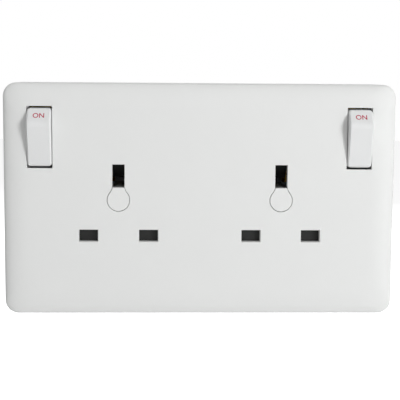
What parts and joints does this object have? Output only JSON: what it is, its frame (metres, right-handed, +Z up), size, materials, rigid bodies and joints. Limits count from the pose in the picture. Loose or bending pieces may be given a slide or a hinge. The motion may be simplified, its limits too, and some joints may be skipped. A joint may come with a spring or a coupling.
{
  "type": "double wall socket",
  "caption": "Twin switched wall socket in white plastic, with outboard rocker switches, shuttered pin slots and screw caps, which fixes over a single wall box.",
  "frame": {"origin": "midway between the two fixing screws, on the wall plane", "axes": "+X right as seen from the room, +Z up, -Y out of the wall towards the room"},
  "size_m": [0.145, 0.0472, 0.086],
  "materials": {
    "plate_urea": "moulded gloss",
    "cap_urea": "moulded gloss",
    "rocker_plastic": "moulded gloss",
    "base_plastic": "moulded matt",
    "shutter_plastic": "moulded matt black",
    "plunger_nylon": "natural nylon",
    "spring_steel": "drawn wire",
    "brass": "stamped",
    "silver": "headed silver",
    "zinc_steel": "zinc plated"
  },
  "bodies": {
    "socket": {"front_plate": "plate_urea", "rear_base": "base_plastic", "fixing_screw_left": "zinc_steel", "fixing_screw_right": "zinc_steel", "live_bus": "brass", "earth_strip": "brass", "neutral_strip": "brass", "live_contact_left": "brass", "live_contact_right": "brass", "fixed_tip_left": "silver", "fixed_tip_right": "silver", "terminal_live": "brass", "terminal_neutral": "brass", "terminal_earth_left": "brass", "terminal_earth_right": "brass", "terminal_screw_live": "zinc_steel", "terminal_screw_neutral": "zinc_steel", "terminal_screw_earth_left": "zinc_steel", "terminal_screw_earth_right": "zinc_steel", "assembly_screw_1": "zinc_steel", "assembly_screw_2": "zinc_steel", "assembly_screw_3": "zinc_steel", "assembly_screw_4": "zinc_steel", "shutter_spring_left": "spring_steel", "shutter_spring_right": "spring_steel"},
    "rocker_left": {"rocker_left": "rocker_plastic", "plunger_spring_left": "spring_steel"},
    "plunger_left": {"plunger_left": "plunger_nylon"},
    "blade_left": {"blade_left": "brass", "moving_tip_left": "silver"},
    "shutter_left": {"shutter_left": "shutter_plastic"},
    "screw_cap_left": {"screw_cap_left": "cap_urea"},
    "rocker_right": {"rocker_right": "rocker_plastic", "plunger_spring_right": "spring_steel"},
    "plunger_right": {"plunger_right": "plunger_nylon"},
    "blade_right": {"blade_right": "brass", "moving_tip_right": "silver"},
    "shutter_right": {"shutter_right": "shutter_plastic"},
    "screw_cap_right": {"screw_cap_right": "cap_urea"}
  },
  "joints": [
    {"name": "rocker_left_tilt", "type": "hinge", "parent": "socket", "child": "rocker_left", "pos_m": [-0.059, -0.0202, 0.0231], "axis": [-1, 0, 0], "range_deg": [0, 12]},
    {"name": "blade_left_tilt", "type": "hinge", "parent": "socket", "child": "blade_left", "pos_m": [-0.059, -0.01, 0.0231], "axis": [-1, 0, 0], "range_deg": [-10, 0]},
    {"name": "plunger_left_slide", "type": "slide", "parent": "rocker_left", "child": "plunger_left", "axis": [0, -0.9945, -0.1045], "range_m": [0, 0.0009], "stiffness_N_per_m": 800, "springref_m": -0.001, "deforming": ["plunger_spring_left"]},
    {"name": "shutter_left_slide", "type": "slide", "parent": "socket", "child": "shutter_left", "axis": [0, 0, 1], "range_m": [0, 0.0052], "stiffness_N_per_m": 150, "springref_m": -0.004, "deforming": ["shutter_spring_left"]},
    {"name": "screw_cap_left_pull", "type": "slide", "parent": "socket", "child": "screw_cap_left", "axis": [0, -1, 0], "range_m": [0, 0.008]},
    {"name": "rocker_right_tilt", "type": "hinge", "parent": "socket", "child": "rocker_right", "pos_m": [0.059, -0.0202, 0.0231], "axis": [-1, 0, 0], "range_deg": [0, 12]},
    {"name": "blade_right_tilt", "type": "hinge", "parent": "socket", "child": "blade_right", "pos_m": [0.059, -0.01, 0.0231], "axis": [-1, 0, 0], "range_deg": [-10, 0]},
    {"name": "plunger_right_slide", "type": "slide", "parent": "rocker_right", "child": "plunger_right", "axis": [0, -0.9945, -0.1045], "range_m": [0, 0.0009], "stiffness_N_per_m": 800, "springref_m": -0.001, "deforming": ["plunger_spring_right"]},
    {"name": "shutter_right_slide", "type": "slide", "parent": "socket", "child": "shutter_right", "axis": [0, 0, 1], "range_m": [0, 0.0052], "stiffness_N_per_m": 150, "springref_m": -0.004, "deforming": ["shutter_spring_right"]},
    {"name": "screw_cap_right_pull", "type": "slide", "parent": "socket", "child": "screw_cap_right", "axis": [0, -1, 0], "range_m": [0, 0.008]}
  ],
  "couplings": [
    {"joint": "blade_left_tilt", "follows": "rocker_left_tilt", "ratio": -0.83333},
    {"joint": "blade_right_tilt", "follows": "rocker_right_tilt", "ratio": -0.83333}
  ]
}
